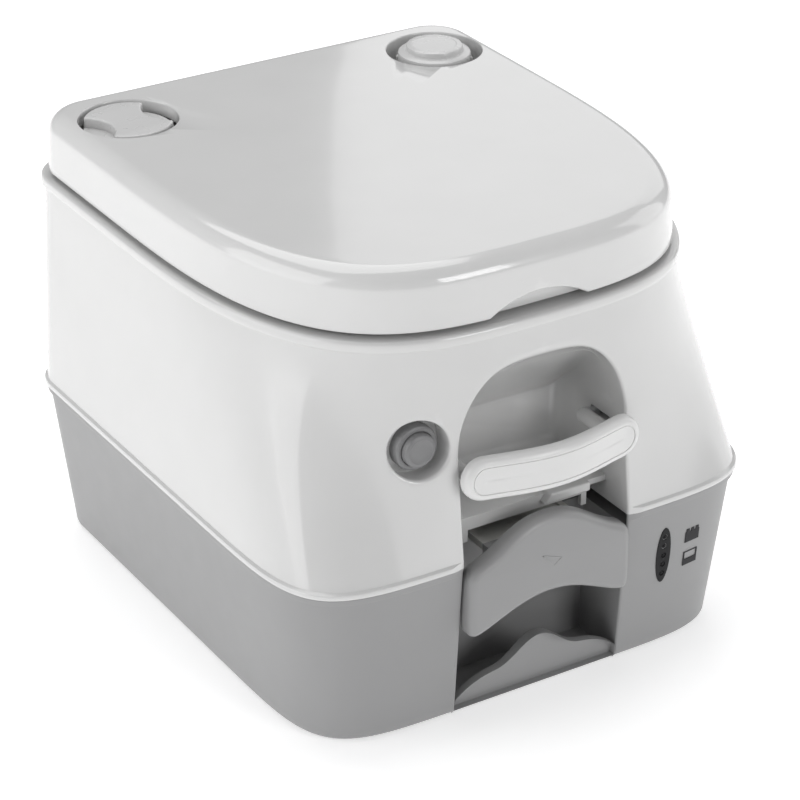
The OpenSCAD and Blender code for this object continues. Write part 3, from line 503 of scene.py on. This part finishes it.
def make_shell():
    front = front_of(lambda z: wall_ring(max(z, SKIRT_Z)))
    extra = [recess_box(),
             lathe("cup", [(CUP_R + 2.6, -225), (CUP_R + 2.6, CUP_FLOOR + 3)], (BUTTON_X, 0, BUTTON_Z), "y")]
    for side in (-1, 1):
        low, high = sorted((side * 62.5, side * 71.5))
        extra.append(block((low, -172, 162.5), (high, -142, 178.5)))
    shell = shell_skin()
    for piece in extra:
        combine(shell, [combine(piece, [shell_inside()], "INTERSECT")], "UNION")
    pads = [block((-24, HALF_D - 16, JOINT_Z + 0.02), (24, HALF_D - 2.5, 169))]
    pads += [block((side * 58 - 20, HALF_D - 4, 236),
                   (side * 58 + 20, HALF_D - 0.02, FLANGE_Z + 1.02)) for side in (-1, 1)]
    combine(shell, pads, "UNION")
    cutters = [mouth(arch(JOINT_Z - 8), front, 2.2, LEDGE_Y, rows=4, ceiling=recess_ceiling)]
    deep = arch(LEDGE_Z)
    depths = np.array([-167, -160, -153, -146, -139, -132, -127, -122, -118, RECESS_BACK - 1, RECESS_BACK])
    squeeze = [0, 0, 0, 0, 0, 0.2, 0.9, 2.6, 5, 8, 11]
    rings = []
    for y, d in zip(depths, squeeze):
        points = deep(-d)
        z = under(np.maximum(points[:, 1], LEDGE_Z), recess_ceiling(y) - d * 0.3)
        rings.append(np.column_stack([points[:, 0], np.full(len(points), y), z]))
    cutters.append(loft("deep", rings))
    cutters.append(block((-RECESS_X, LEDGE_Y + 3, JOINT_Z - 5), (RECESS_X, RECESS_BACK, LEDGE_Z - WALL)))
    cutters.append(block((-43, LEDGE_Y - 5, JOINT_Z - 5), (43, LEDGE_Y + 10, 122)))
    cutters.append(block((47, LEDGE_Y - 5, JOINT_Z - 5), (RECESS_X, LEDGE_Y + 10, LEDGE_Z - WALL - 1)))
    cutters.append(mouth(circle_curve(BUTTON_X, BUTTON_Z, CUP_R - 1.4), front, 2.0, CUP_FLOOR, rows=3))
    cutters.append(lathe("bore", [(12.2, -180), (12.2, -150)], (BUTTON_X, 0, BUTTON_Z), "y", 64))
    for side in (-1, 1):
        cutters.append(lathe("hole", [(27.1, 255), (27.1, 275)], (side * CAP_X, CAP_Y, 0), "z", 96))
        low, high = sorted((side * 58.5, side * 68.5))
        cutters.append(block((low, -167.2, 167.3), (high, -146.8, 173.7)))
    cutters.append(block((-21, HALF_D - 13, JOINT_Z - 5), (21, HALF_D + 5, 166)))
    combine(shell, cutters, "DIFFERENCE")
    return finish_piece(shell, "upper_unit", MATERIALS["white_shell"], ["upper_shell"])


def ledge_tab():
    """Small raised tab on the bridge under the carrying handle."""
    tab = [(11, LEDGE_Z - 4.5), (46, LEDGE_Z - 4.5), (46, LEDGE_Z + 2), (16, LEDGE_Z + 2)]
    outline = resample(tab, 0.8, 2)

    def place(points, depth):
        return np.column_stack([points[:, 0], np.full(len(points), depth), points[:, 1]])
    piece = slab("ledge_tab", outline, LEDGE_Y + 4, LEDGE_Y - 6, 1.2, place, 0.3)
    return finish_piece(piece, "upper_unit", MATERIALS["white_shell"])


def make_bowl():
    """One smooth basin from the deck down to the outlet, and the floor of the water tank."""
    heights = np.array([DECK_Z - WALL - 0.2, 250, 190, 140, 121.5])
    sizes = np.array([[-30, 104, 112], [-29, 100, 106], [-24, 84, 84], [-17, 60, 62],
                      [-15, OUTLET_R, OUTLET_R]])
    order = np.argsort(heights)
    z = np.linspace(heights[-1], heights[0], 40)
    steps = [np.interp(z, heights[order], sizes[order, k]) for k in range(3)]
    kernel = np.ones(5) / 5
    smooth = [np.convolve(np.pad(s, 2, mode="edge"), kernel, mode="valid") for s in steps]
    inner = [oval(0, c, a, b, h) for c, a, b, h in zip(*smooth, z)]
    outer = [oval(0, c, a + WALL, b + WALL, h) for c, a, b, h in zip(*smooth, z)][:-2]
    top = DECK_Z - WALL - 0.2
    rim = [oval(0, -30, 112, 120, top - 3), oval(0, -30, 112, 120, top)]
    bowl = loft("bowl_basin", outer + rim + inner[::-1], loop=True)
    finish_piece(bowl, "upper_unit", MATERIALS["bowl_white"], ["bowl"])
    floor = loft("tank_floor", [wall_ring(h, WALL + 0.3) for h in (121.5, 124.5)])
    combine(floor, [block((-64.8, -220, 100), (64.8, -111.7, 140)),
                    block((-25, HALF_D - 19, 100), (25, HALF_D, 140)),
                    lathe("hole", [(OUTLET_R + 3.2, 100), (OUTLET_R + 3.2, 140)], (*OUTLET, 0))],
            "DIFFERENCE")
    finish_piece(floor, "upper_unit", MATERIALS["bowl_white"])


# ---- Grey waste tank --------------------------------------------------------

def lip_outline():
    """The wavy lip that the fingers hold, seen from the front."""
    x = np.linspace(-RECESS_X - 1, RECESS_X + 1, 49)
    z = 34 + 8 * np.cos(np.pi * np.minimum(abs(x) / 32, 1)) - 14 * (abs(x) / RECESS_X) ** 4
    top = np.stack([x, z], 1)
    return np.concatenate([top[::-1], [[-RECESS_X - 1, -4], [RECESS_X + 1, -4]]])


def make_tank():
    base = [(4, 0), (1.6, 0.35), (0.4, 1.1)]
    rings = [ring(BASE.inset(d), z) for d, z in base]
    rings += [ring(FOOT.inset(1.3), 2.6), ring(FOOT.inset(0.4), 3.8)]
    rings += [tank_ring(z) for z in np.linspace(FOOT_Z, WALL_TOP_Z, 24)]
    rings += [ring(RIM.inset(1.2), WALL_TOP_Z + 0.5), ring(RIM.inset(0.2), BAND_Z + 0.2),
              ring(RIM, BAND_Z + 0.8),
              ring(RIM, JOINT_Z - 1), ring(RIM.inset(0.5), JOINT_Z - 0.2)]
    inside = RIM.inset(TANK_SKIN)
    rings += [ring(inside, JOINT_Z - 0.2), ring(inside, TANK_DECK)]
    flat = ring(inside, 0)
    rings += [on_oval(flat, OUTLET[1], OUTLET_R, OUTLET_R, z) for z in (TANK_DECK, TANK_DECK - TANK_SKIN)]
    rings += [tank_ring(z, TANK_SKIN) for z in (TANK_DECK - TANK_SKIN, 55, 6)]
    rings.append(ring(BASE.inset(6), TANK_SKIN))
    tank = loft("tank", rings, loop=True)
    outside = [ring(BASE.inset(0.8), 0.5)] + [tank_ring(z, 0.6) for z in np.linspace(FOOT_Z, WALL_TOP_Z, 12)]
    added = [block((-65.2, -215, 0.6), (65.2, 3 + TANK_RECESS_BACK, TANK_DECK - 0.3)),
             block((-115, 132, 45), (147, 215, TANK_DECK - 0.3)),
             lathe("stand", [(12, TANK_DECK - 12), (12, TANK_DECK - 0.3)], (-110, 100, 0), "z", 64)]
    for piece in added:
        combine(tank, [combine(piece, [loft("outside", outside)], "INTERSECT")], "UNION")
    front = front_of(lambda z: tank_ring(min(max(z, FOOT_Z), WALL_TOP_Z)))

    def opening(offset):
        half, low, high = RECESS_X + 0.5 + offset, TANK_SKIN - offset * 0.2, JOINT_Z + 8
        side = np.linspace(low, high, 40)
        across = np.linspace(-half, half, 12)[1:-1]
        left = np.stack([np.full_like(side, -half), side], 1)
        right = np.stack([np.full_like(side, half), side[::-1]], 1)
        return np.concatenate([left, np.stack([across, np.full_like(across, high)], 1), right,
                               np.stack([across[::-1], np.full_like(across, low)], 1)])
    cutters = [mouth(opening, front, 1.6, TANK_RECESS_BACK, rows=4),
               block((-112, 135, 48), (144, 215, 100.8)),
               lathe("hole", [(OUTLET_R, 90), (OUTLET_R, 115)], (*OUTLET, 0)),
               lathe("hole", [(18.2, 38), (18.2, 58)], (118, 159, 0), "z", 96),
               lathe("hole", [(9, 95), (9, 115)], (-110, 100, 0), "z", 64),
               block((-20, HALF_D - 5.6, 96), (20, HALF_D + 5, JOINT_Z + 1))]
    combine(tank, cutters, "DIFFERENCE")
    finish_piece(tank, "waste_unit", MATERIALS["tank_grey"], ["waste_tank"])
    make_lip()


def make_lip():
    """Finger lip across the foot of the tank's recess, with a round upper edge."""
    outline = resample(lip_outline(), 1.2, 3)

    def place(points, depth):
        return np.column_stack([points[:, 0], np.full(len(points), depth), points[:, 1]])
    lip = slab("tank_lip", outline, -176.5, -189.2, 4.5, place, 1.5)
    limit = [ring(BASE.inset(0.2), 0.15), ring(FOOT.inset(0.8), 3.2)]
    limit += [tank_ring(z, 0.25) for z in np.linspace(FOOT_Z, 60, 8)]
    combine(lip, [loft("limit", limit)], "INTERSECT")
    finish_piece(lip, "waste_unit", MATERIALS["tank_grey"])


# ---- Lid and seat -----------------------------------------------------------

def make_lid():
    edge, top = 13.0, LID_TOP - 0.5
    rings = [ring(LID.inset(1.0), LID_EDGE), ring(LID.inset(0.25), LID_EDGE + 0.3), ring(LID, LID_EDGE + 1.0)]
    rings += [ring(LID.inset(mix(0, 1.4, t)), mix(LID_EDGE + 1, top - edge, t)) for t in (0.2, 0.4, 0.6, 0.8)]
    for angle in np.radians(np.linspace(0, 90, 14)):
        rings.append(ring(LID.inset(1.4 + edge * (1 - math.cos(angle))), top - edge * (1 - math.sin(angle))))
    rings += [ring(LID.inset(d), mix(top, LID_TOP, (d - 14.4) / 45)) for d in (18, 26, 38, 59.4)]
    shrink_to = [rings[-1] * np.array([k, k, 1]) + np.array([0, 20 * (1 - k), 0]) for k in (0.7, 0.4, 0.15)]
    under = LID_TOP - 3.4
    inside = [shrink_to[-1] - np.array([0, 0, 3.4])]
    inside += [ring(LID.inset(17), under), ring(LID.inset(8), under - 4), ring(LID.inset(4.4), under - 11),
               ring(LID.inset(3), LID_EDGE)]
    lid = loft("lid_shell", (rings + shrink_to)[::-1] + [ring(LID.inset(3), LID_EDGE)] + inside[1:-1][::-1]
               + [inside[0]])
    for side in (-1, 1):
        well = ring_tube("well", 33.2, 35.6, LID_TOP - 10, LID_TOP - 2, (side * CAP_X, CAP_Y, 0))
        limit = [ring(LID.inset(2), LID_EDGE), ring(LID.inset(2.5), top - edge), ring(LID.inset(10), top - 2)]
        combine(lid, [combine(well, [loft("limit", limit)], "INTERSECT")], "UNION")
    profile = [(33.3, 280), (33.3, LID_TOP - 1.6)]
    profile += [(33.3 + o, LID_TOP - d) for o, d in quarter(1.6, 6, 72)[::-1]]
    profile.append((profile[-1][0] + 3, LID_TOP + 1.4))
    cutters = [lathe("hole", profile, (side * CAP_X, CAP_Y, 0)) for side in (-1, 1)]
    heights = [LID_EDGE, LID_EDGE + 1, top - edge]

    def wall(z):
        return ring(LID.inset(mix(0, 1.4, min(max((z - heights[1]) / (heights[2] - heights[1]), 0), 1))), z)
    cutters.append(mouth(circle_curve(0, LID_EDGE - 54.3, 64.4), front_of(wall), 2.0, -150, rows=3))
    cutters += [block((side * 54.75 - 5.4, HALF_D - 12, LID_EDGE - 5), (side * 54.75 + 5.4, 200, 286))
                for side in (-1, 1)]
    combine(lid, cutters, "DIFFERENCE")
    finish_piece(lid, "lid_panel", MATERIALS["white_lid"], ["lid"])
    make_knuckles("lid_arm", 60.0, 69.5, HALF_D - 7, "lid_panel", "white_lid")


def make_knuckles(name, low, high, front, body, slot):
    """Hinge arms: a round eye on each side and the arm that joins it to its panel."""
    for tag, side in (("left", -1), ("right", 1)):
        a, b = sorted((side * low, side * high))
        eye = lathe(f"{name}_{tag}", [(3.9, a), (4.5, a + 0.5), (4.5, b - 0.5), (3.9, b)], (0, PIN_Y, PIN_Z),
                    "x", 48)
        combine(eye, [block((a + 0.02, front, PIN_Z - 3),
                            (b - 0.02, PIN_Y, PIN_Z + 3))], "UNION")
        combine(eye, [lathe("bore", [(2.08, a - 2), (2.08, b + 2)], (0, PIN_Y, PIN_Z), "x", 32)], "DIFFERENCE")
        finish_piece(eye, body, MATERIALS[slot])


def make_seat():
    low, top = DECK_Z + 2.7, seat_high[2]
    outer = [(2, low), (0.6, low + 0.8), (0, low + 3), (0, top - 6), (0.5, top - 3.6), (2, top - 1.6),
             (4.2, top - 0.5), (8, top)]
    rings = [ring(SEAT.inset(d), z) for d, z in outer]
    flat = ring(SEAT, 0)
    inner = [(9, 0), (5.5, 0.5), (2.4, 2), (0.6, 4.4), (0, 7), (0, top - low - 3), (0.8, top - low - 0.8),
             (2.6, top - low)]
    rings += [on_oval(flat, -30, 92 + d, 98 + d, top - h) for d, h in inner]
    seat = loft("seat_ring_form", rings, loop=True)
    combine(seat, [block((-78, 88, DECK_Z + 5), (78, HALF_D - 11, DECK_Z + 14))], "UNION")
    finish_piece(seat, "seat_ring", MATERIALS["white_seat"], ["seat"])
    make_knuckles("seat_arm", 50.0, 59.5, HALF_D - 12, "seat_ring", "white_seat")


# ---- Handles, caps and button -----------------------------------------------

def make_valve_handle():
    x = np.linspace(60, -60, 61)
    crown = np.stack([x, 134.5 - 24 * np.sin(abs(x) / 60 * math.pi / 2) ** 2.6], 1)
    arch_z = 61 + 18.5 * np.cos(np.minimum(abs(x) / 58, 1) * math.pi / 2).clip(0) ** 1.3
    hollow = np.stack([x[::-1], arch_z[::-1]], 1)
    outline = resample(np.concatenate([crown, hollow]) * [1.015, 1], 1.3, 46)
    back, front = valve_low[1] + 13, valve_low[1]

    def place(points, depth):
        crest = np.clip((points[:, 1] - 96) / 38, 0, 1) ** 2 * 2.2
        return np.column_stack([points[:, 0], depth + crest * (depth < back - 4), points[:, 1]])
    handle = slab("valve_grip", outline, back, front, 5.5, place, 1.5)
    combine(handle, [block((-39, -187, 105), (39, -176, 116.5))], "UNION")
    combine(handle, [block((-36.2, -186.3, 108.8), (36.2, -170, 112.7))], "DIFFERENCE")
    finish_piece(handle, "slide_valve", MATERIALS["valve_grey"], ["valve_handle"])
    mark = np.array([(-7.5, 108), (7, 103), (1, 98.5)])
    strokes = []
    for a, b in zip(mark, np.roll(mark, -1, 0)):
        along = (b - a) / np.linalg.norm(b - a)
        across = np.array([-along[1], along[0]]) * 0.3
        strokes.append(np.array([a + across, b + across, b - across, a - across]))
    verts, faces = [], []
    for stroke in strokes:
        start = len(verts)
        verts += [(x, front - 0.14, z) for x, z in stroke] + [(x, front + 0.5, z) for x, z in stroke]
        faces += [tuple(start + i for i in face) for face in
                  ((0, 1, 2, 3), (7, 6, 5, 4), (0, 4, 5, 1), (1, 5, 6, 2), (2, 6, 7, 3), (3, 7, 4, 0))]
    finish_piece(solid("pull_mark", verts, faces), "slide_valve", MATERIALS["valve_grey"])


BAR_LEN, BAR_HALF, BAR_BULGE = bar_high[0], 14.5, 10.0
BAR_MID, BAR_Y, BAR_T = bar_high[2] - BAR_HALF, bar_low[1] + BAR_BULGE, 9.5


def capsule(radius):
    """Points of the bar's outline seen from the front, for one half height."""
    reach = BAR_LEN - BAR_HALF
    straight = np.linspace(-reach, reach, 56)
    turn = np.radians(np.linspace(90, -90, 28))[1:-1]
    right = np.stack([reach + radius * np.cos(turn), radius * np.sin(turn)], 1)
    top = np.stack([straight, np.full_like(straight, radius)], 1)
    return np.concatenate([top, right, -top, -right])


def bar_ring(inset, depth):
    points = capsule(BAR_HALF - inset)
    x = points[:, 0]
    bow = BAR_Y - BAR_BULGE * np.cos(np.minimum(abs(x) / 55, 1) * math.pi / 2).clip(0) ** 1.3
    return np.column_stack([x, bow + depth, BAR_MID + points[:, 1]])


def make_carry_handle():
    rings = [bar_ring(d, BAR_T) for d in (14.49, 12, 9, 6)]
    rings += [bar_ring(o, BAR_T - d) for o, d in quarter(3.0, 6)]
    rings += [bar_ring(o, d) for o, d in quarter(4.6, 9)[::-1]]
    rings += [bar_ring(4.9, 0.05), bar_ring(5.05, 0.6), bar_ring(5.45, 0.6), bar_ring(5.6, 0.12)]
    rings += [bar_ring(d, 0.12) for d in (8, 11, 13, 14.49)]
    bar = loft("carry_bar", rings)
    finish_piece(bar, "handle", MATERIALS["white_handle"], ["carry_handle", "handle_face"],
                 40)
    for tag, side in (("left", -1), ("right", 1)):
        profile = [(4.2, -149), (5, -150.5), (5, -188.5), (6.5, -190.6), (6.5, -192)]
        arm = lathe(f"carry_arm_{tag}", profile, (side * 53, 0, 170.5), "y", 64)
        finish_piece(arm, "handle", MATERIALS["white_handle"])


def make_fill_cap():
    """A round cap with a scallop on each side of a raised bridge."""
    base = cap_low[2] + 10
    centre = (-CAP_X, CAP_Y, 0)
    top = cap_high[2]
    disc = lathe("fill_cap_disc",
                 [(19, base - 10), (22.5, base - 9), (22.5, base), (29, base), (29.9, base + 0.7),
                                   (29.9, base + 2.4), (29.2, base + 3)], centre)
    finish_piece(disc, "filler_cap", MATERIALS["white_caps"], ["fill_cap"])
    turn = np.linspace(0, 2 * math.pi, 360, endpoint=False)
    round_edge = 29.9 * np.stack([np.cos(turn), np.sin(turn)], 1)
    for side in (-1, 1):
        middle = np.array([0, side * 38.0])
        away = round_edge - middle
        reach = np.linalg.norm(away, axis=1)
        inside = reach < 24
        round_edge[inside] = middle + away[inside] / reach[inside][:, None] * 24
    spin = math.radians(-85)
    spun = round_edge @ np.array([[math.cos(spin), math.sin(spin)], [-math.sin(spin), math.cos(spin)]])
    outline = resample(spun, 0.9, 3)

    def place(points, depth):
        return np.column_stack([points, np.full(len(points), depth)]) + np.array(centre)
    bridge = slab("fill_cap_bridge", outline, base + 2, top, 1.3, place, 0.2)
    finish_piece(bridge, "filler_cap", MATERIALS["white_caps"])


def make_knob():
    low, top = knob_low[2], knob_high[2]
    rim = top - 4.4
    profile = [(24.6, low), (25.5, low + 0.8), (25.5, rim - 2.6), (25, rim - 1.2), (23.6, rim - 0.3),
               (21.6, rim),
               (20.3, rim + 0.1), (19.7, rim + 0.7), (19.7, top - 1.6), (19.2, top - 0.6), (18, top - 0.05),
               (15.6, top), (15.1, top - 0.35), (14.4, top - 0.35)]
    centre = (CAP_X, CAP_Y, 0)
    finish_piece(lathe("knob_body", profile, centre), "pump_grip", MATERIALS["white_caps"],
                 ["pump_knob"])
    for i in range(8):
        turn = math.radians(45 * i + 10)
        place = (CAP_X + 25.2 * math.cos(turn), CAP_Y + 25.2 * math.sin(turn), 0)
        lug = lathe(f"knob_lug_{i + 1}", [(1.6, low + 0.3), (1.6, low + 4.6), (1.1, low + 5.3)], place, "z",
                    24)
        finish_piece(lug, "pump_grip", MATERIALS["white_caps"])


def make_button():
    place = (BUTTON_X, 0, BUTTON_Z)
    front = button_low[1]
    cap = [(3, front + 32), (3, front + 13), (11, front + 13), (11, front + 2.2), (10.5, front + 0.9),
           (9.4, front + 0.15), (8.2, front + 0.05), (7.4, front + 0.5), (4, front + 0.7)]
    finish_piece(lathe("button_cap", cap, place, "y"), "flush_push", MATERIALS["button_grey"],
                 ["flush_button"])
    face = collar_low[1]
    turn = np.linspace(0, 2 * math.pi, 128, endpoint=False)
    profile = [(11.15, face + 15.5), (11.15, face + 0.7), (11.7, face), (13.4, face), (14.5, face + 0.7),
               (15, face + 2), (15, face + 7.9), (12, face + 7.9), (12, face + 15.5)]
    rings = [np.column_stack([BUTTON_X + r * np.cos(turn), np.full(128, float(h)),
                              BUTTON_Z + r * np.sin(turn)])
             for r, h in profile]
    finish_piece(loft("collar_ring", rings, loop=True), "upper_unit", MATERIALS["button_grey"],
                 ["button_collar"])


# ---- CAD nodes that stay ----------------------------------------------------

def dress_nodes():
    """Every CAD node that still shows takes the material of its slot."""
    slots = {row["node"]: row["material_slot"] for row in frame["record"]["subparts"]}
    for name, node in frame["nodes"].items():
        if node.hide_render:
            continue
        for holder in node.material_slots:
            holder.material = MATERIALS[slots[name]]


# ---- Floor, light and camera ------------------------------------------------

CAMERA_AZIMUTH, CAMERA_ELEVATION, CAMERA_DISTANCE = -31.72, 27.955, 1.96577
CAMERA_TARGET = Vector((0.00678, -0.00415, 0.12734))
CAMERA_LENS = 131.71


def make_camera():
    az, el = math.radians(CAMERA_AZIMUTH), math.radians(CAMERA_ELEVATION)
    back = Vector((math.sin(az) * math.cos(el), -math.cos(az) * math.cos(el), math.sin(el)))
    camera = bpy.data.objects.new("camera", bpy.data.cameras.new("camera"))
    camera.data.lens, camera.data.sensor_width = CAMERA_LENS, 36
    camera.data.clip_end = 50
    camera.location = CAMERA_TARGET + back * CAMERA_DISTANCE
    camera.rotation_euler = (-back).to_track_quat("-Z", "Y").to_euler()
    bpy.context.scene.collection.objects.link(camera)
    bpy.context.scene.camera = camera


def softbox(name, place, size, watts, aim=(0, 0, 0.15)):
    light = bpy.data.lights.new(name, "AREA")
    light.shape = "RECTANGLE"
    light.size, light.size_y = size
    light.energy = watts
    lamp = bpy.data.objects.new(name, light)
    lamp.location = place
    lamp.rotation_euler = (Vector(aim) - Vector(place)).to_track_quat("-Z", "Y").to_euler()
    bpy.context.scene.collection.objects.link(lamp)


def make_studio():
    bpy.ops.mesh.primitive_plane_add(size=14, location=(0, 0, 0))
    floor = bpy.context.object
    floor.name = "floor"
    material = bpy.data.materials.new("floor")
    material.use_nodes = True
    shader = material.node_tree.nodes["Principled BSDF"]
    shader.inputs["Base Color"].default_value = (0.94, 0.94, 0.94, 1)
    shader.inputs["Roughness"].default_value = 0.9
    shader.inputs["Specular IOR Level"].default_value = 0.1
    shader.inputs["Emission Color"].default_value = (1, 1, 1, 1)
    shader.inputs["Emission Strength"].default_value = 0.4
    floor.data.materials.append(material)
    world = bpy.data.worlds.new("studio")
    world.use_nodes = True
    world.node_tree.nodes["Background"].inputs["Color"].default_value = (0.62, 0.62, 0.63, 1)
    world.node_tree.nodes["Background"].inputs["Strength"].default_value = 0.36
    bpy.context.scene.world = world
    softbox("left", (-2.6, 0.3, 1.1), (2.6, 2.4), 40)
    softbox("front", (0.9, -2.9, 1.25), (1.2, 1.2), 26)
    softbox("right", (2.5, -0.5, 1.1), (1.6, 2.0), 14)
    softbox("above", (0.1, 0.9, 2.5), (2.2, 2.2), 34)
    softbox("behind", (2.278, 1.804, 1.561), (2.2, 1.6), 10, (0.614, -0.5, 0.089))
    bpy.context.scene.view_settings.view_transform = "Standard"


make_camera()
make_studio()
make_shell()
ledge_tab()
make_bowl()
make_tank()
make_lid()
make_seat()
make_valve_handle()
make_carry_handle()
make_fill_cap()
make_knob()
make_button()
dress_nodes()
